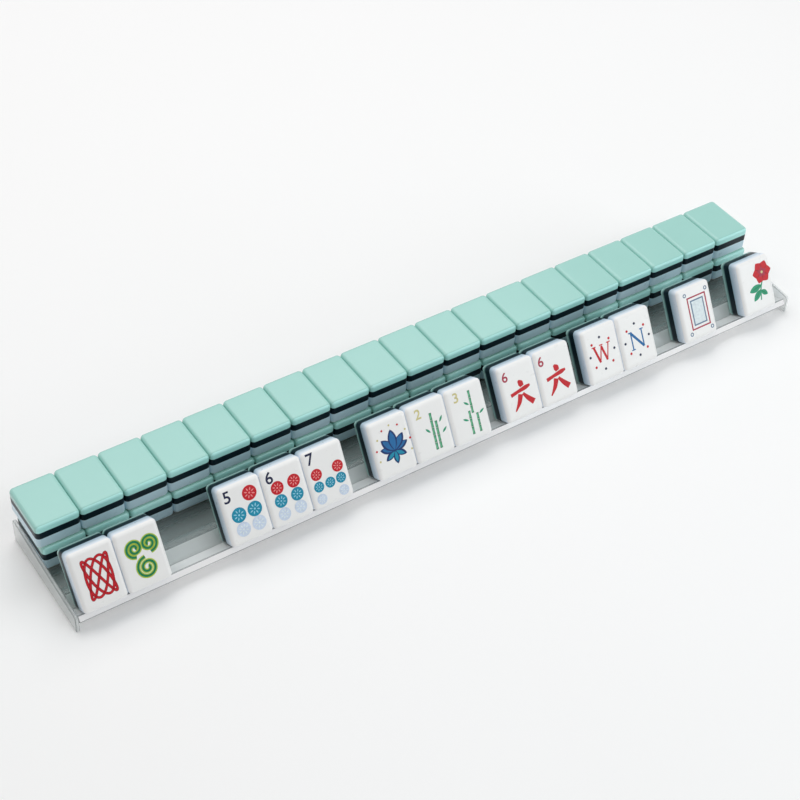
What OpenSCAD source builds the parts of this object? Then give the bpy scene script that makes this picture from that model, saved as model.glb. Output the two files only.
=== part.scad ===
// A clear rack for tiles, loaded for play. A wall of tiles two high stands face down on its shelf,
// and a hand of tiles leans face up in the trough along its front. Each tile is three bonded layers.
// The frame: x runs along the rack, y from the front to the back, z up from the table.

/* [Tile] */
// Width of a tile
tile_w = 23; // [19:0.5:27]
// Length of a tile
tile_l = 30.8; // [26:0.2:36]
// Thickness of the green back layer
back_t = 4; // [3:0.1:6]
// Thickness of the dark middle layer
core_t = 4; // [2:0.1:6]
// Thickness of the white face layer
face_t = 7; // [5:0.1:9]
// Radius of the four corners, seen from the face
corner_r = 1.4; // [0.8:0.1:3]
// Radius of the rounded edge round the back
back_edge_r = 1.7; // [0.8:0.1:2.6]
// Radius of the rounded edge round the face
face_edge_r = 2; // [1:0.1:3.8]

/* [Wall] */
// Number of two-tile stacks in the wall
stacks = 19; // [17:1:22]
// Gap between neighbouring tiles
tile_gap = 0.1; // [0.05:0.05:0.4]
// How far the upper row has slid to the left on the lower row
row_shift = 1.6; // [0:0.1:3]
// How far the upper row stands behind the front of the lower row
row_step = 0.6; // [0:0.1:2]

/* [Trough] */
// Lean of the hand tiles, from the table
lean = 60; // [52:1:68]
// Width of the ledge that the hand tiles stand on
ledge_w = 10.5; // [9:0.5:15]
// Height of the ledge's lowest corner over the table
ledge_lift = 0.3; // [0.2:0.1:1.5]
// Room between the tops of the hand tiles and the wall
wall_room = 10.3; // [6:0.1:14]

/* [Rack] */
// Thickness of the shelf, backrest, ledge, rear panel and rib
panel_t = 4; // [3:0.25:4.5]
// Height of the shelf's top over the table
shelf_h = 6; // [5.5:0.5:10]
// How far the backrest stands over the shelf
backrest_rise = 5; // [3:0.5:8]
// Shelf left free behind the wall
back_margin = 0.4; // [0.2:0.1:6]
// Thickness of the end plates
end_t = 2; // [1.6:0.2:5]
// How far the end plates stand over the ledge's front edge
end_front_rise = 1.6; // [0:0.2:4]
// How far the end plates stand over the shelf at the back
end_back_rise = 8.7; // [6:0.1:12]
// Radius of the end plates' upper corners
end_corner_r = 2; // [0.5:0.25:4]
// Distance of the rib's middle behind the wall's front
rib_setback = 1.5; // [0:0.5:12]

/* [Clearances] */
// Between a tile and what it rests on
seat_gap = 0.1; // [0.05:0.05:0.2]
// Between the lower row and each end plate
end_gap = 0.15; // [0.1:0.05:1]

/* [Hidden] */
$fn = 48;
back_color = [0.62, 0.82, 0.78];
core_color = [0.02, 0.10, 0.13];
face_color = [0.94, 0.94, 0.93];
rack_color = [0.78, 0.86, 0.84, 0.4];

// Tile layers, from the back to the face: name, start of the layer, thickness, colour
tile_t = back_t + core_t + face_t;
LAYERS = [
    ["back", 0, back_t, back_color],
    ["core", back_t, core_t, core_color],
    ["face", back_t + core_t, face_t, face_color],
];

// The hand: its groups from the left, with the tiles of each
GROUPS = [
    ["red_dragon", "green_dragon"],
    ["five_dot", "six_dot", "seven_dot"],
    ["one_bam", "two_bam", "three_bam"],
    ["left_six_crack", "right_six_crack"],
    ["west_wind", "north_wind"],
    ["soap"],
    ["flower"],
];
// Left edge of each group, as a share of the trough's length
hand_start_shares = [0.0061, 0.1841, 0.3758, 0.5557, 0.6795, 0.8283, 0.9268];

// Along the rack
pitch = tile_w + tile_gap;
row_l = stacks * pitch - tile_gap;
inner_l = row_l + 2 * end_gap;

// Across the rack: seat_y, seat_z is the inner corner of the trough
slope_run = panel_t / sin(lean);
front_reach = ledge_w * sin(lean) + panel_t * cos(lean);
wall_setback = tile_l * cos(lean) + wall_room;
back_reach = wall_setback + row_step + tile_l + back_margin;
rack_depth = front_reach + back_reach;
front_y = -rack_depth / 2;
back_y = rack_depth / 2;
seat_y = front_y + front_reach;
seat_z = ledge_lift + panel_t * sin(lean);
lower_y = seat_y + wall_setback;
upper_y = lower_y + row_step;
under_shelf_h = shelf_h - panel_t;
backrest_h = shelf_h + backrest_rise;
ledge_front_z = seat_z + ledge_w * cos(lean);
end_front_h = ledge_front_z + end_front_rise;
end_back_h = shelf_h + end_back_rise;

// Up the wall
lower_top_z = shelf_h + seat_gap + tile_t;
upper_top_z = lower_top_z + seat_gap + tile_t;

// Front face of the backrest at a height over the table
function slope_y(z) = seat_y + (z - seat_z) / tan(lean);

// Middle of a wall tile, counted from the left
function stack_x(i) = (i - (stacks - 1) / 2) * pitch;

// Middle of a hand tile, by its group and its place in the group
function hand_x(group, place) =
    -inner_l / 2 + hand_start_shares[group] * inner_l + tile_w / 2 + place * pitch;

// Outline of a tile seen from its face, standing on y = 0
module face_outline() {
    translate([-tile_w / 2, corner_r]) square([tile_w, tile_l - 2 * corner_r]);
    translate([-tile_w / 2 + corner_r, 0]) square([tile_w - 2 * corner_r, tile_l]);
    for (x = [-1, 1]) {
        for (y = [corner_r, tile_l - corner_r]) {
            translate([x * (tile_w / 2 - corner_r), y]) circle(corner_r);
        }
    }
}

// Section through a tile's thickness, back edge at the bottom, face edge at the top
module edge_outline(width) {
    straight_t = tile_t - back_edge_r - face_edge_r;
    translate([-width / 2, back_edge_r]) square([width, straight_t]);
    translate([-width / 2 + back_edge_r, 0])
        square([width - 2 * back_edge_r, back_edge_r + straight_t]);
    translate([-width / 2 + face_edge_r, back_edge_r])
        square([width - 2 * face_edge_r, straight_t + face_edge_r]);
    for (x = [-1, 1]) {
        translate([x * (width / 2 - back_edge_r), back_edge_r]) circle(back_edge_r);
        translate([x * (width / 2 - face_edge_r), tile_t - face_edge_r]) circle(face_edge_r);
    }
}

// One layer of a tile: its back at z = 0, its foot at y = 0, every outer edge rounded
module tile_layer(layer) {
    color(layer[3])
    intersection() {
        translate([0, 0, layer[1]]) linear_extrude(layer[2]) face_outline();
        translate([0, tile_l, 0]) rotate([90, 0, 0]) linear_extrude(tile_l) edge_outline(tile_w);
        translate([-tile_w / 2, tile_l / 2, 0]) rotate([90, 0, 90])
            linear_extrude(tile_w) edge_outline(tile_l);
    }
}

// A wall tile's layer, face down
module wall_layer(x, y, top_z, layer) {
    translate([x, y, top_z]) rotate([0, 180, 0]) tile_layer(layer);
}

module wall_lower(layer) {
    for (i = [0 : stacks - 1]) wall_layer(stack_x(i), lower_y, lower_top_z, layer);
}

module wall_upper(layer) {
    for (i = [0 : stacks - 2]) wall_layer(stack_x(i) - row_shift, upper_y, upper_top_z, layer);
}

// The next tile to be drawn, at the right end of the upper row
module wall_end_tile(layer) {
    wall_layer(stack_x(stacks - 1) - row_shift, upper_y, upper_top_z, layer);
}

// A hand tile's layer, leaning on the backrest with its foot on the ledge
module hand_layer(group, place, layer) {
    translate([hand_x(group, place), seat_y, seat_z]) rotate([lean, 0, 0])
        translate([0, seat_gap, seat_gap]) tile_layer(layer);
}

// A panel that runs from end plate to end plate, from its section across the rack
module long_panel(points) {
    color(rack_color)
    translate([-inner_l / 2, 0, 0]) rotate([90, 0, 90]) linear_extrude(inner_l) polygon(points);
}

module backrest_panel() {
    long_panel([
        [slope_y(0), 0],
        [slope_y(0) + slope_run, 0],
        [slope_y(backrest_h) + slope_run, backrest_h],
        [slope_y(backrest_h), backrest_h],
    ]);
}

module shelf_panel() {
    long_panel([
        [slope_y(under_shelf_h) + slope_run, under_shelf_h],
        [back_y, under_shelf_h],
        [back_y, shelf_h],
        [slope_y(shelf_h) + slope_run, shelf_h],
    ]);
}

module ledge_panel() {
    foot_y = seat_y - panel_t * cos(lean);
    foot_z = seat_z - panel_t * sin(lean);
    out_y = -ledge_w * sin(lean);
    out_z = ledge_w * cos(lean);
    long_panel([
        [seat_y, seat_z],
        [seat_y + out_y, seat_z + out_z],
        [foot_y + out_y, foot_z + out_z],
        [foot_y, foot_z],
    ]);
}

// An upright strip under the shelf, by the y of its front face
module shelf_support(y) {
    long_panel([[y, 0], [y + panel_t, 0], [y + panel_t, under_shelf_h], [y, under_shelf_h]]);
}

module rear_panel() {
    shelf_support(back_y - panel_t);
}

module support_rib() {
    shelf_support(lower_y + rib_setback - panel_t / 2);
}

// Outline of an end plate: its top falls to the front, and its upper corners are round
module end_outline() {
    front_c = [front_y + end_corner_r, end_front_h - end_corner_r];
    back_c = [back_y - end_corner_r, end_back_h - end_corner_r];
    polygon([
        [front_y, 0],
        [back_y, 0],
        [back_y, back_c[1]],
        [back_c[0], end_back_h],
        [front_c[0], end_front_h],
        [front_y, front_c[1]],
    ]);
    translate(front_c) circle(end_corner_r);
    translate(back_c) circle(end_corner_r);
}

module end_plate(x) {
    color(rack_color) translate([x, 0, 0]) rotate([90, 0, 90]) linear_extrude(end_t) end_outline();
}

module left_end_plate() {
    end_plate(-inner_l / 2 - end_t);
}

module right_end_plate() {
    end_plate(inner_l / 2);
}

left_end_plate();
right_end_plate();
shelf_panel();
backrest_panel();
ledge_panel();
rear_panel();
support_rib();
for (layer = LAYERS) {
    wall_lower(layer);
    wall_upper(layer);
    wall_end_tile(layer);
    for (group = [0 : len(GROUPS) - 1]) {
        for (place = [0 : len(GROUPS[group]) - 1]) {
            hand_layer(group, place, layer);
        }
    }
}
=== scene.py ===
# %% [markdown]
# # A loaded tile rack
# A clear acrylic rack stands on a table. Nineteen stacks of two tiles lie face down on its shelf, and
# fourteen tiles lean face up in the trough along its front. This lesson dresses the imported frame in
# this order: camera, finishes, tiles, wall, hand, rack, painted faces, and then the table and its
# light.
#
# The frame is loaded first, because the sizes and places of the pieces are read from it. Nothing in it
# is moved. Blender's unit is a metre here, so a small size is typed in millimetres, times MM.

# %% Load the frame
import math

import bmesh
import bpy
from mathutils import Matrix, Vector


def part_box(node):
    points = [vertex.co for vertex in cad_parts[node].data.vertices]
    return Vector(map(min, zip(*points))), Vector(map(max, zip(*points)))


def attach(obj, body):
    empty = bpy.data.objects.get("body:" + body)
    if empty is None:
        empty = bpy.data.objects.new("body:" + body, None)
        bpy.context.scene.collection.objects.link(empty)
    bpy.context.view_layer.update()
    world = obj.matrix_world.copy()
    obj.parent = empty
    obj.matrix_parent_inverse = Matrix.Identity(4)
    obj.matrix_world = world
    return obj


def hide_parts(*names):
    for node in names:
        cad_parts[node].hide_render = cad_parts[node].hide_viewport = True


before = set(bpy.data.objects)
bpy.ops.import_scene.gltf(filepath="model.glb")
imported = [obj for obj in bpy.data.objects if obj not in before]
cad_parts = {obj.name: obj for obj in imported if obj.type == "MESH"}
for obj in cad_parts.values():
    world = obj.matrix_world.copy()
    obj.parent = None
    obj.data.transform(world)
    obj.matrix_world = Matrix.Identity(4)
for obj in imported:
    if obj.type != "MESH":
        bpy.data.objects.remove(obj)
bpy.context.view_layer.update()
MM = 0.001

# %% [markdown]
# ## The camera
# The photo looks down on the rack from its front left, through a fairly long lens. A camera can be
# placed by eye, but here its place and its turn come from lines that the object itself gives: the seams
# between the tiles and the long edges of the rack. It is set first, so that each later render can be
# laid over the photo.

# %% Place the camera
SENSOR_W = 36
PHOTO_LENS = 79.247
CAMERA_PLACE = Vector((-397.2, -536.69, 649.58)) * MM
LOOKING = Vector((0.41548, 0.59114, -0.69133)).normalized()
TO_RIGHT = Vector((0.83566, -0.54823, 0.03344))


def put_in_scene(name, data):
    made = bpy.data.objects.new(name, data)
    bpy.context.scene.collection.objects.link(made)
    return made


camera = put_in_scene("photo_camera", bpy.data.cameras.new("photo_camera"))
camera.data.sensor_width = SENSOR_W
camera.data.lens = PHOTO_LENS
square_right = (TO_RIGHT - LOOKING * TO_RIGHT.dot(LOOKING)).normalized()
camera_turn = Matrix((square_right, square_right.cross(LOOKING), -LOOKING)).transposed()
camera.matrix_world = Matrix.Translation(CAMERA_PLACE) @ camera_turn.to_4x4()
bpy.context.scene.camera = camera
print("camera at", [round(v, 4) for v in camera.location], "lens", camera.data.lens)

# %% [markdown]
# ## Finishes
# The tiles are cast resin, polished all over. One flat colour would be quick to set, but a polished
# cast has slow, faint clouds in it, and its polish changes a little from place to place. Both come from
# noise on Object coordinates, so that they stay on the tile when it moves. What is the same all over,
# such as the specular level, is typed on the shader's own sockets. Five small helpers make the nodes
# that every finish here needs.

# %% Helpers for the finishes
def screen_colour(red, green, blue):
    """A colour as a screen shows it, 0 to 255, as the linear colour that the shader wants."""
    def linear(v):
        v = v / 255
        return v / 12.92 if v <= 0.04045 else ((v + 0.055) / 1.055) ** 2.4
    return (linear(red), linear(green), linear(blue), 1.0)


def new_material(name):
    made = bpy.data.materials.new(name)
    made.use_nodes = True
    nodes, links = made.node_tree.nodes, made.node_tree.links
    return made, nodes, links, nodes["Principled BSDF"]


def noise(nodes, links, place, scale, detail):
    """Noise on Object coordinates, from 0 to 1."""
    cloud = nodes.new("ShaderNodeTexNoise")
    cloud.inputs["Scale"].default_value = scale
    cloud.inputs["Detail"].default_value = detail
    links.new(place.outputs["Object"], cloud.inputs["Vector"])
    return cloud.outputs["Fac"]


def blend(nodes, links, share, first, second):
    """A colour between two, by a share of the second."""
    mix = nodes.new("ShaderNodeMix")
    mix.data_type = "RGBA"
    mix.inputs["A"].default_value = first
    mix.inputs["B"].default_value = second
    links.new(share, mix.inputs["Factor"])
    return mix.outputs["Result"]


def spread(nodes, links, share, low, high):
    """A share from 0 to 1, spread from low to high."""
    scale = nodes.new("ShaderNodeMapRange")
    scale.inputs["To Min"].default_value = low
    scale.inputs["To Max"].default_value = high
    links.new(share, scale.inputs["Value"])
    return scale.outputs["Result"]


print("white on the screen is", screen_colour(255, 255, 255))

# %% [markdown]
# A tile is three layers: a green back, a dark core and a white face. In the wall the sides of the white
# layer get a cooler, darker white: painted shade. The front and back rims of the green layer there get
# a lighter green: painted light. The two tones could be one resin with a gradient, but a finish for
# each keeps the colours easy to set.

# %% Resin for the tile layers
CLOUD_SCALE = 70.0
WEAR_SCALE = 260.0
RIPPLE_SCALE = 900.0
RIPPLE_STRENGTH = 0.02
RIPPLE_H = 0.2 * MM
RESIN_IOR = 1.5
MINT_POLISH = (0.16, 0.24)
NAVY_POLISH = (0.3, 0.4)
WHITE_POLISH = (0.24, 0.34)
FULL_MIRROR = 0.5
DULL_MIRROR = 0.2


def slow_clouds(nodes, links, place):
    return noise(nodes, links, place, CLOUD_SCALE, detail=3.0)


def polished_resin(name, first, second, polish, mirror=FULL_MIRROR, share=slow_clouds):
    """A resin between two screen colours. The share says how much of the second is where."""
    made, nodes, links, shader = new_material(name)
    place = nodes.new("ShaderNodeTexCoord")
    colour = blend(nodes, links, share(nodes, links, place), screen_colour(*first), screen_colour(*second))
    wear = noise(nodes, links, place, WEAR_SCALE, detail=5.0)
    ripple = nodes.new("ShaderNodeBump")
    ripple.inputs["Strength"].default_value = RIPPLE_STRENGTH
    ripple.inputs["Distance"].default_value = RIPPLE_H
    links.new(noise(nodes, links, place, RIPPLE_SCALE, detail=2.0), ripple.inputs["Height"])
    links.new(colour, shader.inputs["Base Color"])
    links.new(spread(nodes, links, wear, *polish), shader.inputs["Roughness"])
    links.new(ripple.outputs["Normal"], shader.inputs["Normal"])
    shader.inputs["IOR"].default_value = RESIN_IOR
    shader.inputs["Specular IOR Level"].default_value = mirror
    return made


mint = polished_resin("mint_resin", (156, 207, 198), (160, 211, 202), MINT_POLISH)
# Painted light and painted shade: the wall's green rims get a lighter green, and the sides of its white
# layer a cooler, darker white.
mint_painted_light = polished_resin("mint_painted_light_resin", (176, 233, 227), (180, 237, 231), MINT_POLISH)
navy = polished_resin("navy_resin", (2, 22, 31), (4, 27, 37), NAVY_POLISH, DULL_MIRROR)
white = polished_resin("white_resin", (240, 238, 236), (244, 243, 242), WHITE_POLISH)
white_painted_shade = polished_resin("white_painted_shade_resin", (192, 218, 230), (198, 223, 234), WHITE_POLISH)
print("resins", [made.name for made in (mint, mint_painted_light, navy, white, white_painted_shade)])

# %% [markdown]
# The rack is clear acrylic sheet. A glass shader is the first thing to try, but thin sheets turn dark
# and noisy with it. What is behind a flat sheet hardly moves, so the sheet is drawn as a thin veil:
# more open where it is looked at straight on, and milky where it is looked at along its surface, as
# Layer Weight tells. The veil also lets light through to the table. The shelf lies in the shade of the
# wall, so its veil, also on the backrest, is grey and darker: painted shade. The veils of the front of
# the backrest, the ledge and its lip are whiter and more opaque: painted light. The cut edges of every
# sheet are darker lines, so they too have a veil of their own. Noise in the roughness stands for the
# fine rubbing that a used rack has.

# %% Acrylic for the rack
RUBBING_SCALE = 160.0
RUBBED_POLISH = (0.02, 0.12)
GLANCE_BLEND = 0.35
ACRYLIC_IOR = 1.49


def clear_acrylic(name, tint, straight, along):
    """A veil: how much it hides where it is seen straight on, and where it is seen along its surface."""
    made, nodes, links, shader = new_material(name)
    place = nodes.new("ShaderNodeTexCoord")
    rubbing = noise(nodes, links, place, RUBBING_SCALE, detail=4.0)
    glance = nodes.new("ShaderNodeLayerWeight")
    glance.inputs["Blend"].default_value = GLANCE_BLEND
    links.new(spread(nodes, links, rubbing, *RUBBED_POLISH), shader.inputs["Roughness"])
    links.new(spread(nodes, links, glance.outputs["Facing"], straight, along), shader.inputs["Alpha"])
    shader.inputs["Base Color"].default_value = screen_colour(*tint)
    shader.inputs["IOR"].default_value = ACRYLIC_IOR
    return made


acrylic = clear_acrylic("clear_acrylic", (240, 244, 243), straight=0.22, along=0.75)
# Painted shade in the shelf's grey veil; painted light in the whiter, more opaque veils of the backrest's
# front, the ledge and its lip.
shelf_painted_shade_acrylic = clear_acrylic("shelf_painted_shade_acrylic", (142, 156, 155), straight=0.3, along=0.7)
backrest_front_painted_light_acrylic = clear_acrylic("backrest_front_painted_light_acrylic", (240, 245, 244), straight=0.6, along=0.85)
ledge_painted_light_acrylic = clear_acrylic("ledge_painted_light_acrylic", (252, 253, 253), straight=0.62, along=0.85)
lip_painted_light_acrylic = clear_acrylic("lip_painted_light_acrylic", (254, 251, 251), straight=0.86, along=0.95)
edge_acrylic = clear_acrylic("cut_edge_acrylic", (158, 164, 164), straight=0.46, along=0.78)
veils = (acrylic, shelf_painted_shade_acrylic, backrest_front_painted_light_acrylic, ledge_painted_light_acrylic, lip_painted_light_acrylic, edge_acrylic)
print("acrylic", [made.name for made in veils])

# %% [markdown]
# ## One tile
# A tile is a block with rounded corners, whose edges are rounded over at the back and at the face. A
# Bevel modifier on a box gives one radius everywhere, and this tile has three. So it is drawn as a
# stack of outlines: each is a rounded rectangle, and near the back and the face the outlines draw in
# along a quarter circle. A last outline just inside the edge holds the flat part flat, so that smooth
# shading doesn't bend it.
#
# The tile's width, length and layers are read from the end tile of the wall. A box doesn't tell how
# round its block is, so the three radii are typed.

# %% Read the tile's sizes from the frame
core_low, core_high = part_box("wall_end_tile_core")
back_low, back_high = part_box("wall_end_tile_back")
face_low, face_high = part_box("wall_end_tile_face")
tile_w = core_high.x - core_low.x
tile_l = core_high.y - core_low.y
back_t = back_high.z - back_low.z
core_t = core_high.z - core_low.z
face_t = face_high.z - face_low.z
tile_t = back_t + core_t + face_t
corner_r = 2.3 * MM
back_edge_r = 2.0 * MM
face_edge_r = 2.2 * MM
print("tile mm", [round(v / MM, 2) for v in (tile_w, tile_l, back_t, core_t, face_t)])

# %% Outlines of a layer
CORNER_STEPS = 7
EDGE_STEPS = 8
FLAT_RIM = 0.3 * MM
LEAST_CORNER = 0.4 * MM
CORNERS = ((1, 1), (-1, 1), (-1, -1), (1, -1))


def rounded_outline(half_w, half_l, radius):
    points = []
    for quarter, (side_x, side_y) in enumerate(CORNERS):
        for i in range(CORNER_STEPS + 1):
            a = math.pi / 2 * (quarter + i / CORNER_STEPS)
            points.append((side_x * (half_w - radius) + radius * math.cos(a),
                           side_y * (half_l - radius) + radius * math.sin(a)))
    return points


def rounding(radius):
    """Depths under a layer's end, with how far the outline draws in at each."""
    if not radius:
        return [(0.0, 0.0)]
    levels = [(0.0, radius + FLAT_RIM)]
    for i in range(EDGE_STEPS + 1):
        a = math.pi / 2 * i / EDGE_STEPS
        levels.append((radius * (1 - math.cos(a)), radius * (1 - math.sin(a))))
    return levels


def levels_of(low, high, low_r, high_r):
    """Heights of a layer's outlines, with how far each draws in."""
    rising = [(low + depth, inset) for depth, inset in rounding(low_r)]
    return rising + [(high - depth, inset) for depth, inset in reversed(rounding(high_r))]


LAYERS = (
    ("back", mint, "tile_back_mint", levels_of(0, back_t, back_edge_r, 0)),
    ("core", navy, "tile_core_navy", levels_of(back_t, back_t + core_t, 0, 0)),
    ("face", white, "tile_face_white", levels_of(back_t + core_t, tile_t, 0, face_edge_r)),
)
print("outlines", {name: len(levels) for name, _, _, levels in LAYERS})

# %% Draw the three layers
def mesh_from(shape, name):
    mesh = bpy.data.meshes.new(name)
    shape.to_mesh(mesh)
    shape.free()
    return mesh


def tile_layer_mesh(name, levels):
    """A closed layer, its middle at x = 0 and y = 0, its back towards z = 0."""
    shape = bmesh.new()
    rings = []
    for height, inset in levels:
        radius = max(corner_r - inset, LEAST_CORNER)
        outline = rounded_outline(tile_w / 2 - inset, tile_l / 2 - inset, radius)
        rings.append([shape.verts.new((x, y, height)) for x, y in outline])
    count = len(rings[0])
    for lower, upper in zip(rings, rings[1:]):
        for i in range(count):
            j = (i + 1) % count
            shape.faces.new((lower[i], lower[j], upper[j], upper[i])).smooth = True
    shape.faces.new(list(reversed(rings[0]))).smooth = True
    shape.faces.new(rings[-1]).smooth = True
    for ring, (_, inset) in ((rings[0], levels[0]), (rings[-1], levels[-1])):
        if not inset:
            for i in range(count):
                shape.edges.get((ring[i], ring[(i + 1) % count])).smooth = False
    return mesh_from(shape, name)


layer_meshes = {name: tile_layer_mesh("tile_" + name, levels) for name, _, _, levels in LAYERS}
print("layer faces", {name: len(mesh.polygons) for name, mesh in layer_meshes.items()})

# %% [markdown]
# ## The wall
# The wall repeats one tile along a line. Copies or an Array modifier would do, but Geometry Nodes keep
# the count, the pitch and the finish as inputs of one tree: a line of points, the layer instanced on
# each, the instances made real, and the finish set last. Each row's layer becomes a plain mesh that
# stands for the frame's own node of that name.

# %% A tree that repeats a tile layer along the rack
def row_tree():
    tree = bpy.data.node_groups.new("tile_row", "GeometryNodeTree")
    sockets = tree.interface
    sockets.new_socket("Geometry", in_out="INPUT", socket_type="NodeSocketGeometry")
    sockets.new_socket("Count", in_out="INPUT", socket_type="NodeSocketInt")
    sockets.new_socket("Pitch", in_out="INPUT", socket_type="NodeSocketFloat")
    sockets.new_socket("Finish", in_out="INPUT", socket_type="NodeSocketMaterial")
    sockets.new_socket("Geometry", in_out="OUTPUT", socket_type="NodeSocketGeometry")
    nodes, links = tree.nodes, tree.links
    source = nodes.new("NodeGroupInput")
    step = nodes.new("ShaderNodeCombineXYZ")
    line = nodes.new("GeometryNodeMeshLine")
    place = nodes.new("GeometryNodeInstanceOnPoints")
    real = nodes.new("GeometryNodeRealizeInstances")
    finish = nodes.new("GeometryNodeSetMaterial")
    result = nodes.new("NodeGroupOutput")
    links.new(source.outputs["Pitch"], step.inputs["X"])
    links.new(source.outputs["Count"], line.inputs["Count"])
    links.new(step.outputs["Vector"], line.inputs["Offset"])
    links.new(line.outputs["Mesh"], place.inputs["Points"])
    links.new(source.outputs["Geometry"], place.inputs["Instance"])
    links.new(place.outputs["Instances"], real.inputs["Geometry"])
    links.new(real.outputs["Geometry"], finish.inputs["Geometry"])
    links.new(source.outputs["Finish"], finish.inputs["Material"])
    links.new(finish.outputs["Geometry"], result.inputs["Geometry"])
    return tree


tile_row = row_tree()
row_inputs = {s.name: s.identifier for s in tile_row.interface.items_tree if s.in_out == "INPUT"}
print("row inputs", row_inputs)

# %% Helpers that lay and finish a row
def plain_mesh(maker):
    """An object's finished shape, or a text's letters, as a plain mesh. The object itself goes."""
    bpy.context.view_layer.update()
    shown = maker.evaluated_get(bpy.context.evaluated_depsgraph_get())
    mesh = bpy.data.meshes.new_from_object(shown)
    bpy.data.objects.remove(maker)
    return mesh


def laid_row(name, layer_mesh, finish, first, count, pitch):
    """A row of tile layers, face down, as one plain mesh."""
    start = layer_mesh.copy()
    start.transform(Matrix.Translation(first) @ Matrix.Rotation(math.pi, 4, "Y"))
    maker = put_in_scene(name + "_maker", start)
    row = maker.modifiers.new("row", "NODES")
    row.node_group = tile_row
    row[row_inputs["Count"]] = count
    row[row_inputs["Pitch"]] = pitch
    row[row_inputs["Finish"]] = finish
    mesh = plain_mesh(maker)
    mesh.name = name
    return mesh


def finish_sides(mesh, finish, is_side):
    """Gives the faces whose normal passes a test a finish of their own."""
    mesh.materials.append(finish)
    for side in mesh.polygons:
        if is_side(side.normal):
            side.material_index = len(mesh.materials) - 1


def show(name, mesh, body, slot, *nodes):
    """A finished piece: its place is in its mesh, it rides on a body and stands for frame nodes."""
    piece = put_in_scene(name, mesh)
    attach(piece, body)
    if nodes:
        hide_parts(*nodes)
    return piece


print("the row helpers use the tree", tile_row.name)

# %% Lay the two rows and the end tile
UP = Vector((0, 0, 1))
SIDE_LIMIT = 0.4
FRONT_LIMIT = 0.6


def round_the_tile(out):
    """A test for the faces that lie round a tile whose flat sides look along out."""
    def is_side(normal):
        return abs(normal.dot(out)) < SIDE_LIMIT
    return is_side


def at_front_or_back(normal):
    """A test for the faces along the wall's long sides."""
    return abs(normal.y) > FRONT_LIMIT


# Painted light on the front and back rims of the green layer, painted shade on the sides of the white
# layer.
WALL_SIDES = {"back": (mint_painted_light, at_front_or_back), "face": (white_painted_shade, round_the_tile(UP))}
for row in ("wall_lower", "wall_upper", "wall_end_tile"):
    low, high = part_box(row + "_core")
    length = high.x - low.x
    count = max(1, round(length / tile_w))
    pitch = (length - tile_w) / (count - 1) if count > 1 else 0.0
    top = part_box(row + "_back")[1].z
    first = Vector((low.x + tile_w / 2, (low.y + high.y) / 2, top))
    for layer, finish, slot, _ in LAYERS:
        mesh = laid_row(f"{row}_{layer}_tiles", layer_meshes[layer], finish, first, count, pitch)
        if layer in WALL_SIDES:
            finish_sides(mesh, *WALL_SIDES[layer])
        show(f"{row}_{layer}_tiles", mesh, row, slot, f"{row}_{layer}")
    print(row, "tiles", count, "pitch mm", round(pitch / MM, 3))

# %% [markdown]
# ## The hand
# Each hand tile leans back at sixty degrees. A tile could be turned as an object, but here the turn
# goes into its mesh, so that every finished piece stays at the origin. The core layer is a plain block,
# so the middle of its box is the middle of the core itself, and the lean gives the direction out of the
# face.
#
# The sides of the green and the white layers carry painted shade: they run from a dark or cool tone at
# the core to a light one away from it. The resin reads how far a point lies along the way out of the
# face, as the dot product of its Object coordinates with that direction.

# %% Painted shade for the sides of the hand tiles
LEAN = math.radians(60)
HAND = (
    "red_dragon", "green_dragon", "five_dot", "six_dot", "seven_dot", "one_bam", "two_bam", "three_bam",
    "left_six_crack", "right_six_crack", "west_wind", "north_wind", "soap", "flower",
)
tile_turn = Matrix.Rotation(LEAN, 4, "X")
tile_out = tile_turn @ UP


def back_middle(tile):
    """The middle of a hand tile's back."""
    low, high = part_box(tile + "_core")
    return (low + high) / 2 - tile_out * (back_t + core_t / 2)


def away_from_core(start, end):
    """A share for a resin: 0 at a start beside the core, 1 at an end away from it."""
    def share(nodes, links, place):
        depth = nodes.new("ShaderNodeVectorMath")
        depth.operation = "DOT_PRODUCT"
        depth.inputs[1].default_value = tile_out
        reach = nodes.new("ShaderNodeMapRange")
        reach.inputs["From Min"].default_value = start
        reach.inputs["From Max"].default_value = end
        links.new(place.outputs["Object"], depth.inputs[0])
        links.new(depth.outputs["Value"], reach.inputs["Value"])
        return reach.outputs["Result"]
    return share


core_back = back_middle(HAND[-1]).dot(tile_out) + back_t
core_face = core_back + core_t
# Painted shade: the green sides darken and the white sides cool towards the core.
mint_side_painted_shade = polished_resin("mint_side_painted_shade_resin", (30, 66, 70), (164, 204, 198), MINT_POLISH,
                           share=away_from_core(core_back, core_back - back_t / 2))
white_side_painted_shade = polished_resin("white_side_painted_shade_resin", (160, 187, 204), (229, 237, 247), WHITE_POLISH,
                            share=away_from_core(core_face, core_face + face_t - face_edge_r))
print("core from", round(core_back / MM, 2), "to", round(core_face / MM, 2), "mm along the way out")

# %% Lean the hand tiles
HAND_SIDES = {"back": mint_side_painted_shade, "face": white_side_painted_shade}
face_place = {}
for tile in HAND:
    tile_place = Matrix.Translation(back_middle(tile)) @ tile_turn
    for layer, finish, slot, _ in LAYERS:
        mesh = layer_meshes[layer].copy()
        mesh.name = f"{tile}_{layer}_shape"
        mesh.transform(tile_place)
        mesh.materials.append(finish)
        if layer in HAND_SIDES:
            finish_sides(mesh, HAND_SIDES[layer], round_the_tile(tile_out))
        show(f"{tile}_{layer}_shape", mesh, tile, slot, f"{tile}_{layer}")
    face_place[tile] = Matrix.Translation(back_middle(tile) + tile_out * tile_t) @ tile_turn
print("hand tiles", len(face_place))

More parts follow.
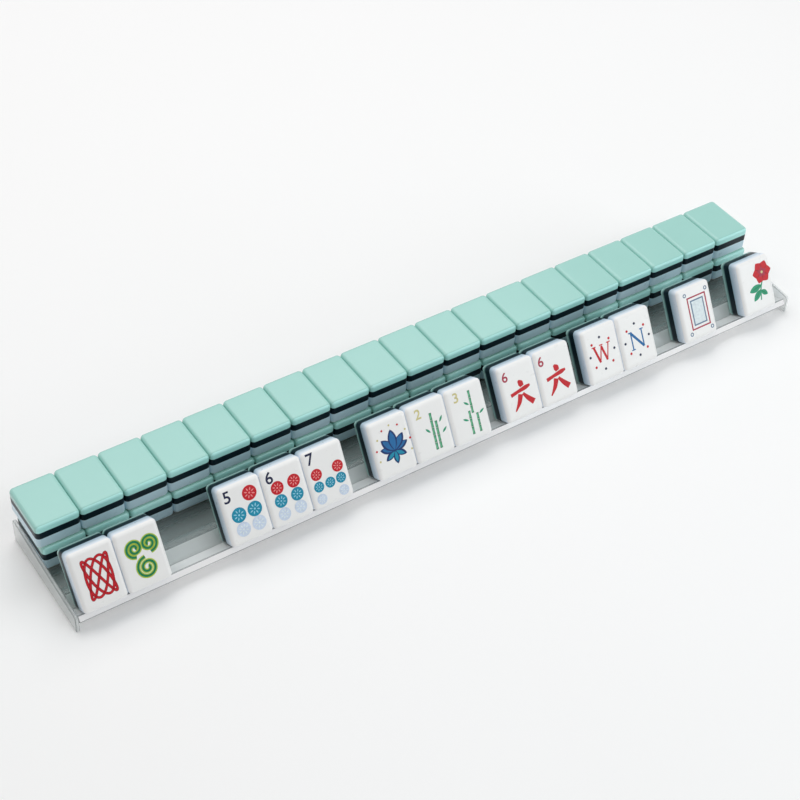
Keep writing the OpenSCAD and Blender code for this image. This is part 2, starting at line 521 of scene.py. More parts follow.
# %% [markdown]
# ## The rack
# The rack is cut from sheet and cemented: shelf, backrest, ledge, rear panel, rib and two end plates.
# Each is a prism, so it is drawn from its section across the rack. Two faces in one plane would flicker
# against each other, so each panel is drawn a hair smaller than its node, which also leaves the fine
# line of a cemented joint. A small bevel takes the darker finish of a cut edge. A Bevel modifier would
# do that too, but in bmesh the new faces come back in a list, ready for their finish.

# %% A panel from its section
SEAM = 0.03 * MM
CUT_BEVEL = 0.5 * MM
SHARP_EDGE = math.radians(25)
FRONT_LOOK = -0.5
SAME_LINE = 1e-9
SHEET_FACE, CUT_EDGE, FRONT_FACE = range(3)


def drawn_in(points, by):
    """A closed outline, anticlockwise, moved inwards by a distance."""
    moved = []
    for before, here, after in zip(points[-1:] + points[:-1], points, points[1:] + points[:1]):
        lines = []
        for a, b in ((before, here), (here, after)):
            along = (Vector(b) - Vector(a)).normalized()
            inward = Vector((-along.y, along.x))
            lines.append((Vector(a) + inward * by, along))
        (p, u), (q, v) = lines
        cross = u.x * v.y - u.y * v.x
        if abs(cross) < SAME_LINE:
            moved.append(tuple(Vector(here) + Vector((-u.y, u.x)) * by))
        else:
            t = ((q.x - p.x) * v.y - (q.y - p.y) * v.x) / cross
            moved.append(tuple(p + u * t))
    return moved


def panel(name, section, from_x, to_x, finish=acrylic, front=None):
    """A bevelled prism along x, from its section across the rack. Its front may have another finish."""
    section = drawn_in(section, SEAM)
    shape = bmesh.new()
    left = [shape.verts.new((from_x + SEAM, y, z)) for y, z in section]
    right = [shape.verts.new((to_x - SEAM, y, z)) for y, z in section]
    for i in range(len(section)):
        j = (i + 1) % len(section)
        shape.faces.new((left[i], left[j], right[j], right[i]))
    shape.faces.new(list(reversed(left)))
    shape.faces.new(right)
    bmesh.ops.recalc_face_normals(shape, faces=shape.faces)
    sharp = [edge for edge in shape.edges if edge.calc_face_angle() > SHARP_EDGE]
    cut = bmesh.ops.bevel(shape, geom=sharp, offset=CUT_BEVEL, offset_type="OFFSET", segments=1,
                          profile=0.5, affect="EDGES", clamp_overlap=True)
    for strip in cut["faces"]:
        strip.material_index = CUT_EDGE
    for side in shape.faces:
        if side.material_index == SHEET_FACE and side.normal.y < FRONT_LOOK:
            side.material_index = FRONT_FACE
    mesh = mesh_from(shape, name + "_sheet")
    for made in (finish, edge_acrylic, front or finish):
        mesh.materials.append(made)
    return show(name + "_sheet", mesh, "rack", "rack_clear", name)


print("bevel mm", CUT_BEVEL / MM, "seam mm", SEAM / MM)

# %% [markdown]
# The sections follow from the trough. Its inner corner, the seat, is where the front of the backrest
# meets the top of the ledge, at a right angle. The ledge runs from there to the front and the backrest
# to the back.

# %% Draw the long panels
shelf_low, shelf_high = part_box("shelf_panel")
ledge_low, ledge_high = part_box("ledge_panel")
rest_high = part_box("backrest_panel")[1]
left_x, right_x = shelf_low.x, shelf_high.x
sin, cos = math.sin(LEAN), math.cos(LEAN)
sheet_t = shelf_high.z - shelf_low.z
across = sheet_t / sin
seat_y, seat_z = ledge_high.y, ledge_low.z + sheet_t * sin
ledge_w = (ledge_high.z - seat_z) / cos
lip_y, lip_z = seat_y - ledge_w * sin, seat_z + ledge_w * cos


def slope(z):
    """How far back the front of the backrest lies at a height."""
    return seat_y + (z - seat_z) / math.tan(LEAN)


shelf_section = [
    (slope(shelf_low.z) + across, shelf_low.z),
    (shelf_high.y, shelf_low.z),
    (shelf_high.y, shelf_high.z),
    (slope(shelf_high.z) + across, shelf_high.z),
]
backrest_section = [
    (slope(0), 0),
    (slope(0) + across, 0),
    (slope(rest_high.z) + across, rest_high.z),
    (slope(rest_high.z), rest_high.z),
]
ledge_section = [
    (seat_y, seat_z),
    (lip_y, lip_z),
    (lip_y - sheet_t * cos, lip_z - sheet_t * sin),
    (seat_y - sheet_t * cos, seat_z - sheet_t * sin),
]
# The shelf and the rest of the backrest take the painted shade veil; the backrest's front, the ledge and
# its lip the painted light veils.
panel("shelf_panel", shelf_section, left_x, right_x, shelf_painted_shade_acrylic)
panel("backrest_panel", backrest_section, left_x, right_x, shelf_painted_shade_acrylic, backrest_front_painted_light_acrylic)
panel("ledge_panel", ledge_section, left_x, right_x, ledge_painted_light_acrylic, lip_painted_light_acrylic)
for strip in ("rear_panel", "support_rib"):
    low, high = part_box(strip)
    panel(strip, [(low.y, low.z), (high.y, low.z), (high.y, high.z), (low.y, high.z)], left_x, right_x)
print("sheet mm", round(sheet_t / MM, 2), "ledge mm", round(ledge_w / MM, 2))

# %% [markdown]
# An end plate closes the rack on each side. Its top falls from the back to the front, and its two upper
# corners are round, so its outline is two straight corners and two quarter circles.

# %% Draw the end plates
PLATE_CORNER_R = 2.0 * MM
PLATE_FRONT_RISE = 1.6 * MM
PLATE_CORNER_STEPS = 6

plate_front_h = ledge_high.z + PLATE_FRONT_RISE
for side in ("left_end_plate", "right_end_plate"):
    low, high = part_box(side)
    outline = [(low.y, 0), (high.y, 0)]
    back_corner = (high.y - PLATE_CORNER_R, high.z - PLATE_CORNER_R, 0)
    front_corner = (low.y + PLATE_CORNER_R, plate_front_h - PLATE_CORNER_R, 90)
    for middle_y, middle_z, start in (back_corner, front_corner):
        for i in range(PLATE_CORNER_STEPS + 1):
            a = math.radians(start + 90 * i / PLATE_CORNER_STEPS)
            out_y, out_z = PLATE_CORNER_R * math.cos(a), PLATE_CORNER_R * math.sin(a)
            outline.append((middle_y + out_y, middle_z + out_z))
    panel(side, outline, low.x, high.x)
    print(side, "height mm", round(high.z / MM, 2))

# %% [markdown]
# ## Painted faces
# The marks on a tile face are cut and filled with paint. They could be a picture on the face, but
# shapes stay sharp at any distance, so each mark is a thin slab let into the face and a hair proud of
# it. The paint is a little duller than the resin, with a fine grain in its colour.

# %% Paints
GRAIN_SCALE = 700.0
GRAIN_SPREAD = 0.1
PAINT_ROUGHNESS = 0.38
PAINT_MIRROR = 0.25
PAINT_COLOURS = {
    "navy": (30, 34, 66),
    "red": (196, 28, 40),
    "crimson": (150, 22, 34),
    "rose": (168, 50, 72),
    "blush": (232, 150, 150),
    "teal": (26, 138, 168),
    "sky": (150, 204, 222),
    "blue": (34, 104, 160),
    "deep_blue": (20, 52, 104),
    "pale_blue": (204, 216, 236),
    "mist": (222, 232, 240),
    "slate": (96, 122, 148),
    "green": (20, 122, 78),
    "leaf_green": (44, 150, 112),
    "stem_green": (120, 196, 156),
    "lime": (176, 196, 70),
    "gold": (206, 196, 140),
}


def paint(name, colour):
    made, nodes, links, shader = new_material(name + "_paint")
    place = nodes.new("ShaderNodeTexCoord")
    grain = noise(nodes, links, place, GRAIN_SCALE, detail=4.0)
    darker = screen_colour(*(v * (1 - GRAIN_SPREAD) for v in colour))
    lighter = screen_colour(*(min(v * (1 + GRAIN_SPREAD), 255) for v in colour))
    links.new(blend(nodes, links, grain, darker, lighter), shader.inputs["Base Color"])
    shader.inputs["Roughness"].default_value = PAINT_ROUGHNESS
    shader.inputs["Specular IOR Level"].default_value = PAINT_MIRROR
    return made


PAINTS = {name: paint(name, colour) for name, colour in PAINT_COLOURS.items()}
print("paints", len(PAINTS))

# %% [markdown]
# A small paint box holds the shapes: discs, rings, strokes of a brush, petals and figures. All of them
# are drawn flat, in millimetres from the middle of the face, x to the right and y up the tile, and laid
# on the tile at the end. A brush stroke is a smooth curve through a few points, with a width at each.

# %% Outlines of the marks
PETAL_STEPS = 12
PETAL_FULLNESS = 0.8
PETAL_TIP_W = 0.02


def circle(x, y, radius, steps):
    turns = [2 * math.pi * i / steps for i in range(steps)]
    return [(x + radius * math.cos(a), y + radius * math.sin(a)) for a in turns]


def smooth_line(points, widths, steps):
    """Points along a smooth curve through the given ones, with widths between theirs."""
    p = [Vector(q) for q in points]
    p = [p[0] * 2 - p[1]] + p + [p[-1] * 2 - p[-2]]
    line, wide = [], []
    for k in range(1, len(p) - 2):
        a, b, c, d = p[k - 1:k + 3]
        for i in range(steps):
            t = i / steps
            square = (2 * a - 5 * b + 4 * c - d) * t * t
            cube = (3 * b - a - 3 * c + d) * t ** 3
            line.append(0.5 * (2 * b + (c - a) * t + square + cube))
            wide.append(widths[k - 1] + (widths[k] - widths[k - 1]) * t)
    return line + [p[-2]], wide + [widths[-1]]


def stroke_sides(points, widths, steps):
    """The two sides of a brush stroke."""
    line, wide = smooth_line(points, widths, steps)
    left, right = [], []
    for i, here in enumerate(line):
        along = (line[min(i + 1, len(line) - 1)] - line[max(i - 1, 0)]).normalized()
        aside = Vector((-along.y, along.x)) * wide[i] / 2
        left.append(tuple(here - aside))
        right.append(tuple(here + aside))
    return left, right


def petal_sides(x, y, angle, length, width, belly):
    """The two sides of a leaf or petal that starts at x, y and points along an angle, in degrees."""
    a = math.radians(angle)
    along, aside = Vector((math.cos(a), math.sin(a))), Vector((-math.sin(a), math.cos(a)))
    left, right = [], []
    for i in range(PETAL_STEPS + 1):
        t = i / PETAL_STEPS
        half = max(width / 2 * math.sin(math.pi * t ** belly) ** PETAL_FULLNESS, PETAL_TIP_W / 2)
        here = Vector((x, y)) + along * length * t
        left.append(tuple(here - aside * half))
        right.append(tuple(here + aside * half))
    return left, right


print("points in a petal's outline", 2 * (PETAL_STEPS + 1))

# %% Slabs of paint
FIRST_RISE = 0.03
RISE_STEP = 0.002
LET_IN = 0.15
FIGURE_HALF_T = 0.09
FIGURE_SWELL = 0.11
FIGURE_H_SHARE = 0.70
DISC_STEPS = 28
STROKE_STEPS = 8
MIDDLE_BELLY = 1.0


class FaceMarks:
    """Collects the marks of one tile face, then lays them on the tile."""

    def __init__(self):
        self.shape = bmesh.new()
        self.colours = []
        self.rise = FIRST_RISE

    def next_mark(self, colour):
        """A new mark's top and colour index. It is a hair over the last, so no two share a plane."""
        self.rise += RISE_STEP
        if colour not in self.colours:
            self.colours.append(colour)
        return self.rise * MM, self.colours.index(colour)

    def line(self, points, z):
        return [self.shape.verts.new((x * MM, y * MM, z)) for x, y in points]

    def strip(self, colour, left, right, closed=False):
        """A slab between two lines of points."""
        top, index = self.next_mark(colour)
        lt, lb, rt, rb = [self.line(side, z) for side in (left, right) for z in (top, -LET_IN * MM)]
        faces = []
        for i in range(len(left) if closed else len(left) - 1):
            j = (i + 1) % len(left)
            faces += [(lt[i], lt[j], rt[j], rt[i]), (lb[j], lb[i], rb[i], rb[j]),
                      (lb[i], lb[j], lt[j], lt[i]), (rt[i], rt[j], rb[j], rb[i])]
        if not closed:
            faces += [(lt[0], rt[0], rb[0], lb[0]), (rt[-1], lt[-1], lb[-1], rb[-1])]
        for corners in faces:
            if len({tuple(corner.co) for corner in corners}) == 4:
                self.shape.faces.new(corners).material_index = index

    def polygon(self, colour, points):
        """A slab with a filled outline."""
        top, index = self.next_mark(colour)
        upper, lower = self.line(points, top), self.line(points, -LET_IN * MM)
        made = [self.shape.faces.new(upper), self.shape.faces.new(list(reversed(lower)))]
        for i in range(len(points)):
            j = (i + 1) % len(points)
            made.append(self.shape.faces.new((lower[i], lower[j], upper[j], upper[i])))
        for side in made:
            side.material_index = index

    def disc(self, colour, x, y, radius, steps=DISC_STEPS):
        self.polygon(colour, circle(x, y, radius, steps))

    def ring(self, colour, x, y, outer, inner, steps=DISC_STEPS):
        self.strip(colour, circle(x, y, outer, steps), circle(x, y, inner, steps), closed=True)

    def brush(self, colour, points, widths, steps=STROKE_STEPS):
        self.strip(colour, *stroke_sides(points, widths, steps))

    def petal(self, colour, x, y, angle, length, width, belly=MIDDLE_BELLY):
        """A belly under 1 moves a petal's widest part towards its start, over 1 towards its end."""
        self.strip(colour, *petal_sides(x, y, angle, length, width, belly))

    def figure(self, colour, digit, x, y, height):
        """A plain number, its middle at x, y."""
        top, index = self.next_mark(colour)
        words = bpy.data.curves.new("figure", "FONT")
        words.body, words.align_x, words.align_y = digit, "CENTER", "CENTER"
        words.size = height * MM / FIGURE_H_SHARE
        words.extrude = FIGURE_HALF_T * MM
        words.offset = FIGURE_SWELL * MM
        mesh = plain_mesh(put_in_scene("figure", words))
        mesh.transform(Matrix.Translation((x * MM, y * MM, top - FIGURE_HALF_T * MM)))
        start = len(self.shape.faces)
        self.shape.from_mesh(mesh)
        self.shape.faces.ensure_lookup_table()
        for side in self.shape.faces[start:]:
            side.material_index = index
        bpy.data.meshes.remove(mesh)

    def lay(self, tile):
        bmesh.ops.recalc_face_normals(self.shape, faces=self.shape.faces)
        mesh = mesh_from(self.shape, tile + "_marks")
        mesh.transform(face_place[tile])
        for colour in self.colours:
            mesh.materials.append(PAINTS[colour])
        return show(tile + "_marks", mesh, tile, "tile_face_white")


print("marks reach", LET_IN, "mm into the face")

# %% [markdown]
# The dot tiles carry wheels, the old coin pattern of the suit: a disc with a ring of light petals round
# a light middle. Red wheels come first, then teal, then pale ones. Each tile is a row of a table: its
# number, the number's place, and its wheels by colour and radius.

# %% Dot tiles
WHEEL_SPOKES = 8
HUB_SHARE = 0.13
SPOKE_START_SHARE = 0.3
SPOKE_LENGTH_SHARE = 0.45
SPOKE_WIDTH_SHARE = 0.16
WHEEL_INSIDE = {"red": "blush", "teal": "sky", "pale_blue": "mist"}
DOT_FIGURE_H = 6.0
DOTS = {
    "five_dot": ("5", (-7.4, 9.9), (
        ("red", 3.85, ((4.3, 8.1),)),
        ("teal", 3.85, ((-3.9, -0.4), (4.7, -0.5))),
        ("pale_blue", 3.7, ((-3.6, -8.0), (5.0, -8.0))),
    )),
    "six_dot": ("6", (-7.2, 10.5), (
        ("red", 3.45, ((-4.4, 4.5), (4.8, 4.6))),
        ("teal", 3.4, ((-4.3, -2.5), (4.8, -2.4))),
        ("pale_blue", 3.3, ((-4.3, -9.4), (4.8, -9.2))),
    )),
    "seven_dot": ("7", (-7.3, 10.9), (
        ("red", 3.05, ((-6.0, 2.5), (6.1, 2.6))),
        ("teal", 2.75, ((-6.3, -3.9), (0.1, -3.9), (6.3, -3.8))),
        ("pale_blue", 2.7, ((-6.4, -10.4), (6.2, -10.4))),
    )),
}


def wheel(marks, colour, x, y, radius):
    inside = WHEEL_INSIDE[colour]
    marks.disc(colour, x, y, radius)
    marks.disc(inside, x, y, radius * HUB_SHARE, steps=10)
    for i in range(WHEEL_SPOKES):
        a = 2 * math.pi * (i + 0.5) / WHEEL_SPOKES
        start_x = x + SPOKE_START_SHARE * radius * math.cos(a)
        start_y = y + SPOKE_START_SHARE * radius * math.sin(a)
        marks.petal(inside, start_x, start_y, math.degrees(a),
                    radius * SPOKE_LENGTH_SHARE, radius * SPOKE_WIDTH_SHARE)


for tile, (number, place, rows) in DOTS.items():
    marks = FaceMarks()
    marks.figure("navy", number, *place, DOT_FIGURE_H)
    for colour, radius, middles in rows:
        for x, y in middles:
            wheel(marks, colour, x, y, radius)
    print(marks.lay(tile).name)

# %% [markdown]
# Two of the bam tiles show bamboo. A stick is a row of short segments that swell at their ends, with a
# light streak along each, and a few leaves stand beside the sticks. A loop over the segments draws a
# stick of any height, so each tile only lists where its sticks stand.

# %% Bamboo tiles
SEGMENT_GAP = 0.24
WAIST_SHARE = 0.8
STREAK_SHARE = 0.35
STREAK_END = 0.5
STREAK_ASIDE = 0.1
LEAF_L, LEAF_W = 3.6, 1.1
BAM_FIGURE = (-5.4, 9.9, 5.2)
# Number, then width and tilt of the sticks, then x, y, height and segments of each stick,
# then x, y and angle of each leaf
BAMS = {
    "two_bam": ("2", 1.5, 0.03, ((0.8, -11.5, 20.0, 5), (3.2, -11.5, 15.0, 4)),
                ((5.6, 2.0, 55), (-0.8, -1.5, 130), (6.0, -4.0, 40))),
    "three_bam": ("3", 1.4, 0.02, ((2.4, -1.0, 12.5, 3), (0.2, -12.0, 13.0, 3), (4.6, -12.0, 10.5, 3)),
                  ((1.2, 4.0, 140), (6.0, -2.5, 30), (-1.0, -4.0, 150))),
}


def bamboo(marks, width, tilt, x, y, height, segments):
    """A stick that stands on x, y."""
    def stick_x(v):
        return x + tilt * (v - y)
    step = height / segments
    for i in range(segments):
        low, high = y + i * step + SEGMENT_GAP / 2, y + (i + 1) * step - SEGMENT_GAP / 2
        stem = [(stick_x(v), v) for v in (low, (low + high) / 2, high)]
        marks.brush("green", stem, [width, width * WAIST_SHARE, width])
        streak = [(stick_x(low) - STREAK_ASIDE, low + STREAK_END),
                  (stick_x(high) - STREAK_ASIDE, high - STREAK_END)]
        marks.brush("stem_green", streak, [width * STREAK_SHARE] * 2)


for tile, (number, width, tilt, sticks, leaves) in BAMS.items():
    marks = FaceMarks()
    marks.figure("gold", number, *BAM_FIGURE)
    for stick in sticks:
        bamboo(marks, width, tilt, *stick)
    for x, y, angle in leaves:
        marks.petal("leaf_green", x, y, angle, LEAF_L, LEAF_W)
    print(marks.lay(tile).name)

# %% [markdown]
# The one of this suit is a blossom of blue petals here, under an arc of small red and gold dots. A
# petal is drawn twice: in a dark blue, and then shorter and narrower in a lighter one, so that a dark
# rim is left.

# %% Blossom tile
BLOSSOM_X, BLOSSOM_Y = 0.6, -2.6
# Angle, length and width
UPPER_PETALS = ((20, 8.5, 3.6), (160, 8.5, 3.6), (50, 10.0, 4.4), (130, 10.0, 4.4), (90, 11.5, 5.0))
LOWER_ANGLES = (-150, -30, -90)
UPPER_BELLY = 1.1
UPPER_INNER_L_SHARE, UPPER_INNER_W_SHARE = 0.86, 0.66
UPPER_INNER_Y = BLOSSOM_Y + 0.4
LOWER_INNER_Y = BLOSSOM_Y - 0.3
LOWER_L, LOWER_W = 7.0, 3.4
LOWER_INNER_L, LOWER_INNER_W = 5.6, 1.9
ARC_DOTS = 9
ARC_START, ARC_STEP = -20, 27.5
ARC_Y, ARC_HALF_W, ARC_HALF_H = -1.0, 10.0, 12.2
ARC_DOT_R = 0.55

marks = FaceMarks()
for angle, length, width in UPPER_PETALS:
    marks.petal("deep_blue", BLOSSOM_X, BLOSSOM_Y, angle, length, width, UPPER_BELLY)
    inner_l, inner_w = length * UPPER_INNER_L_SHARE, width * UPPER_INNER_W_SHARE
    marks.petal("blue", BLOSSOM_X, UPPER_INNER_Y, angle, inner_l, inner_w, UPPER_BELLY)
for angle in LOWER_ANGLES:
    marks.petal("deep_blue", BLOSSOM_X, BLOSSOM_Y, angle, LOWER_L, LOWER_W)
    marks.petal("teal", BLOSSOM_X, LOWER_INNER_Y, angle, LOWER_INNER_L, LOWER_INNER_W)
for i in range(ARC_DOTS):
    a = math.radians(ARC_START + ARC_STEP * i)
    dot_x, dot_y = BLOSSOM_X + ARC_HALF_W * math.cos(a), ARC_Y + ARC_HALF_H * math.sin(a)
    marks.disc("red" if i % 2 else "gold", dot_x, dot_y, ARC_DOT_R, steps=10)
print(marks.lay("one_bam").name)

# %% [markdown]
# The crack tiles carry the number six twice, as a plain figure and as the old written sign. A font may
# lack the sign, so it is drawn in four strokes of a loaded brush: points along each stroke, and a width
# at each.

# %% Crack tiles
CRACK_FIGURE = (-7.7, 9.4, 5.2)
SIX_STROKES = (
    ([(-0.4, 5.2), (0.7, 3.6), (1.3, 1.7)], [1.2, 3.4, 2.4]),
    ([(-6.4, -1.2), (-2.0, -0.4), (3.2, 0.4), (6.0, 0.9)], [2.0, 1.8, 2.4, 1.2]),
    ([(-0.6, -2.2), (-2.4, -6.2), (-5.6, -10.2)], [3.0, 2.5, 0.7]),
    ([(0.9, -2.2), (3.4, -5.6), (6.4, -8.8)], [1.4, 2.6, 3.2]),
)
for tile in ("left_six_crack", "right_six_crack"):
    marks = FaceMarks()
    marks.figure("rose", "6", *CRACK_FIGURE)
    for points, widths in SIX_STROKES:
        marks.brush("red", points, widths)
    print(marks.lay(tile).name)

# %% [markdown]
# The wind tiles carry a compass letter in a ring of dots. The letters have thick and thin strokes and
# small serifs, which the plain font lacks, so they too are strokes.

# %% Wind tiles
SERIF_T = 0.6
WIND_DOT_R = 0.72
WIND_DOTS = 8
RING_HALF_W, RING_HALF_H = 8.0, 9.0
# Colour, strokes by their ends and width, serifs by x, y and width, and the middle of the ring
WINDS = {
    "west_wind": (
        "red",
        (((-5.2, 5.0), (-2.6, -4.2), 1.3), ((-2.6, -4.2), (-0.4, 4.4), 0.7),
         ((-0.4, 4.4), (2.0, -4.2), 1.3), ((2.0, -4.2), (4.4, 5.0), 0.7)),
        ((-5.2, 5.0, 2.6), (-0.4, 5.0, 2.2), (4.4, 5.0, 2.4)),
        (-0.4, 0.4),
    ),
    "north_wind": (
        "blue",
        (((-3.6, 4.4), (-3.6, -5.4), 0.8), ((-3.8, 4.4), (3.6, -5.4), 1.4),
         ((3.6, 4.4), (3.6, -5.4), 0.8)),
        ((-4.0, 4.4, 2.4), (-3.6, -5.4, 2.4), (3.6, 4.4, 2.4)),
        (-0.1, -0.4),
    ),
}
for tile, (colour, strokes, serifs, (ring_x, ring_y)) in WINDS.items():
    marks = FaceMarks()
    for start, end, width in strokes:
        marks.brush(colour, [start, end], [width, width], steps=1)
    for x, y, width in serifs:
        ends = [(x - width / 2, y), (x + width / 2, y)]
        marks.brush(colour, ends, [SERIF_T, SERIF_T], steps=1)
    for i in range(WIND_DOTS):
        a = math.pi / 2 + 2 * math.pi * i / WIND_DOTS
        dot_x, dot_y = ring_x + RING_HALF_W * math.cos(a), ring_y + RING_HALF_H * math.sin(a)
        marks.disc("red" if i % 2 else "navy", dot_x, dot_y, WIND_DOT_R, steps=12)
    print(marks.lay(tile).name)

# %% [markdown]
# The soap tile is the blank one of the set: a frame in a frame, with a small ring at each corner. A
# frame is a closed strip between two rectangles, and the inner frame lies on a pale field.

# %% Soap tile
SOAP_X, SOAP_Y = 0.9, 0.1
OUTER_FRAME = (6.5, 9.4, 0.8)
INNER_FRAME = (4.5, 7.3, 0.75)
FIELD_HALF_W, FIELD_HALF_H = 3.9, 6.7
SOAP_RINGS = ((-6.5, 11.3), (8.0, 11.3), (8.0, -11.1), (-6.5, -11.1))
SOAP_RING_R, SOAP_RING_HOLE_R = 1.15, 0.6


def rectangle(half_w, half_h):
    """The corners of a rectangle round the soap tile's middle."""
    return [(SOAP_X + side_x * half_w, SOAP_Y + side_y * half_h) for side_x, side_y in CORNERS]


def frame_line(marks, colour, half_w, half_h, width):
    marks.strip(colour, rectangle(half_w, half_h), rectangle(half_w - width, half_h - width), closed=True)


marks = FaceMarks()
frame_line(marks, "rose", *OUTER_FRAME)
marks.polygon("mist", rectangle(FIELD_HALF_W, FIELD_HALF_H))
frame_line(marks, "slate", *INNER_FRAME)
for x, y in SOAP_RINGS:
    marks.ring("slate", x, y, SOAP_RING_R, SOAP_RING_HOLE_R, steps=14)
print(marks.lay("soap").name)

# %% [markdown]
# The flower tile has an open blossom over three leaves, in the plain manner of old tile sets: six
# petals with darker veins between them, a small inner blossom and a gold middle. Each ring of petals is
# a loop round one point, and later marks lie over earlier ones.

# %% Flower tile
FLOWER_X, FLOWER_Y = 4.9, 6.3
FLOWER_STEM = [(4.4, 2.0), (2.4, -2.4), (1.2, -9.0)]
FLOWER_STEM_W = [0.8, 0.9, 0.7]
# x, y, angle, length and width
FLOWER_LEAVES = ((3.0, -0.6, 192, 9.0, 4.0), (2.2, -3.0, 222, 8.0, 3.6), (2.0, -3.6, -38, 5.6, 3.0))
LOW_BELLY = 0.62
FLOWER_MIDDLE_R = 0.8
VEIN_L_SHARE, VEIN_W = 0.8, 0.6
# Colour, count, first angle, length, width and belly
FLOWER_RINGS = (
    ("red", 6, 0, 6.6, 7.4, LOW_BELLY),
    ("crimson", 6, 30, 5.2, 0.5, MIDDLE_BELLY),
    ("rose", 5, 90, 3.2, 2.4, LOW_BELLY),
)

marks = FaceMarks()
marks.brush("leaf_green", FLOWER_STEM, FLOWER_STEM_W)
for x, y, angle, length, width in FLOWER_LEAVES:
    marks.petal("leaf_green", x, y, angle, length, width)
    marks.petal("green", x, y, angle, length * VEIN_L_SHARE, VEIN_W)
for colour, count, first_angle, length, width, belly in FLOWER_RINGS:
    for i in range(count):
        marks.petal(colour, FLOWER_X, FLOWER_Y, first_angle + 360 / count * i, length, width, belly)
marks.disc("gold", FLOWER_X, FLOWER_Y, FLOWER_MIDDLE_R, steps=14)
print(marks.lay("flower").name)

# %% [markdown]
# The two dragon tiles are the red and the green honours. Red is a knot whose cord crosses itself, drawn
# as one closed curve: two sines, three waves across and four waves up. Green is three curls, two above
# and one below, each with a soft lime edge. Both are formulas, because a smooth path by hand would take
# many points.

# %% Honour tiles
KNOT_X, KNOT_HALF_W, KNOT_HALF_H = 0.6, 6.4, 9.8
KNOT_STEPS = 120
KNOT_COATS = (("crimson", 1.35), ("red", 0.8))
# x, y, size, start angle and way round
CURLS = ((-2.9, 5.4, 4.4, -90, -1), (4.5, 5.4, 4.4, -90, 1), (0.8, -5.6, 5.4, 90, 1))
CURL_TURNS = 1.9
CURL_STEPS = 26
CURL_CLOSING_SHARE = 0.86
CURL_COATS = (("lime", 2.2), ("green", 1.15))


def knot():
    path = []
    for i in range(KNOT_STEPS + 1):
        t = 2 * math.pi * i / KNOT_STEPS
        path.append((KNOT_X + KNOT_HALF_W * math.sin(3 * t), KNOT_HALF_H * math.sin(4 * t)))
    return path


def curl(x, y, size, start, way):
    path = []
    for i in range(CURL_STEPS + 1):
        t = i / CURL_STEPS
        radius = size * (1 - t * CURL_CLOSING_SHARE)
        a = math.radians(start) + way * 2 * math.pi * CURL_TURNS * t
        path.append((x + radius * math.cos(a), y + radius * math.sin(a)))
    return path


def coat(marks, path, colour, width):
    marks.brush(colour, path, [width] * len(path), steps=2)


marks = FaceMarks()
for colour, width in KNOT_COATS:
    coat(marks, knot(), colour, width)
print(marks.lay("red_dragon").name)
marks = FaceMarks()
for colour, width in CURL_COATS:
    for place in CURLS:
        coat(marks, curl(*place), colour, width)
print(marks.lay("green_dragon").name)

# %% [markdown]
# ## Table and light
# The table is a plain pale floor, with hardly visible clouds in its paint. It is one large square,
# because nothing of it but its top is ever seen.

# %% Floor
TABLE_HALF = 4
TABLE_CLOUD_SCALE = 3.0
TABLE_ROUGHNESS = 0.7
TABLE_MIRROR = 0.2
TABLE_COLOURS = ((250, 249, 248), (253, 252, 252))

table_mesh = bpy.data.meshes.new("table_top")
table_corners = [(-TABLE_HALF, -TABLE_HALF, 0), (TABLE_HALF, -TABLE_HALF, 0),
                 (TABLE_HALF, TABLE_HALF, 0), (-TABLE_HALF, TABLE_HALF, 0)]
table_mesh.from_pydata(table_corners, [], [(0, 1, 2, 3)])
table_top = put_in_scene("table_top", table_mesh)
table_paint, nodes, links, shader = new_material("table_paint")
table_clouds = noise(nodes, links, nodes.new("ShaderNodeTexCoord"), TABLE_CLOUD_SCALE, detail=2.0)
table_colour = blend(nodes, links, table_clouds, *(screen_colour(*colour) for colour in TABLE_COLOURS))
links.new(table_colour, shader.inputs["Base Color"])
shader.inputs["Roughness"].default_value = TABLE_ROUGHNESS
shader.inputs["Specular IOR Level"].default_value = TABLE_MIRROR
table_mesh.materials.append(table_paint)
print("floor", table_top.name)

# %% [markdown]
# One wide soft lamp hangs overhead and a little behind the wall, so the fronts of the wall stay in
# shade. Two weaker, cooler lamps stand at the front right: a low one for the front edges, and a higher
# one that lifts the lower row and the faces of the hand. Area lamps are used, because a wide lamp gives
# the soft shadow of a bright room.

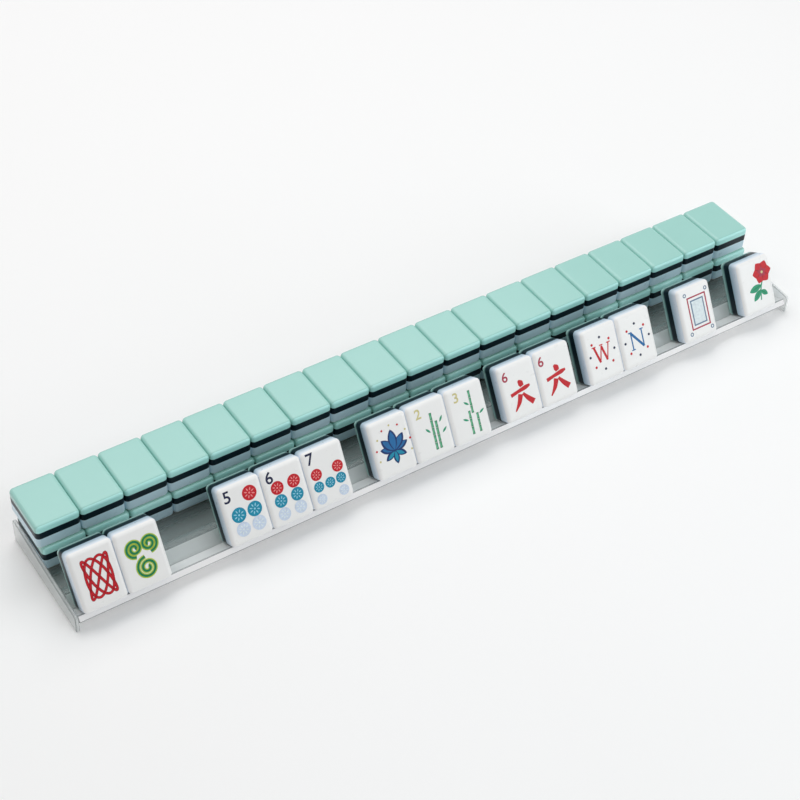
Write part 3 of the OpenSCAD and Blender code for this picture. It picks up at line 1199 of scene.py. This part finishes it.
# %% Lamps
PLAIN_LIGHT = (1.0, 1.0, 1.0)
COOL_LIGHT = (0.88, 0.97, 1.0)
RACK_MIDDLE = (0, 0, 0)
RACK_RIGHT = (0.14, 0, 0.02)


def soft_lamp(name, place, target, size, watts, light):
    data = bpy.data.lights.new(name, "AREA")
    data.shape = "RECTANGLE"
    data.size, data.size_y = size
    data.energy = watts
    data.color = light
    lamp = put_in_scene(name, data)
    lamp.location = place
    lamp.rotation_euler = (Vector(target) - Vector(place)).to_track_quat("-Z", "Y").to_euler()
    return lamp


lamps = [
    soft_lamp("overhead_lamp", (0.0, 0.58, 1.32), RACK_MIDDLE, (1.9, 1.1), watts=13.2, light=PLAIN_LIGHT),
    soft_lamp("side_lamp", (0.85, -0.80, 0.34), RACK_RIGHT, (0.8, 0.4), watts=3.0, light=COOL_LIGHT),
    soft_lamp("front_lamp", (0.35, -1.0, 1.2), RACK_RIGHT, (1.0, 0.5), watts=4.2, light=COOL_LIGHT),
]
print("lamps", [lamp.name for lamp in lamps])

# %% [markdown]
# The sky is white where the camera, a reflection or a clear piece looks at it, and dimmer as a lamp, so
# that it doesn't wash out the shade. A Light Path node tells which kind of ray asks.

# %% Sky
SKY_AS_LAMP = 0.38
SKY_AS_SEEN = 1.0

sky_world = bpy.data.worlds.new("studio")
bpy.context.scene.world = sky_world
sky_world.use_nodes = True
nodes, links = sky_world.node_tree.nodes, sky_world.node_tree.links
rays = nodes.new("ShaderNodeLightPath")
seen = rays.outputs["Is Camera Ray"]
for kind in ("Is Glossy Ray", "Is Transmission Ray"):
    either = nodes.new("ShaderNodeMath")
    either.operation = "MAXIMUM"
    links.new(seen, either.inputs[0])
    links.new(rays.outputs[kind], either.inputs[1])
    seen = either.outputs["Value"]
sky = nodes["Background"]
sky.inputs["Color"].default_value = (1, 1, 1, 1)
links.new(spread(nodes, links, seen, SKY_AS_LAMP, SKY_AS_SEEN), sky.inputs["Strength"])
bpy.context.scene.view_settings.view_transform = "Standard"
print("sky", sky_world.name)
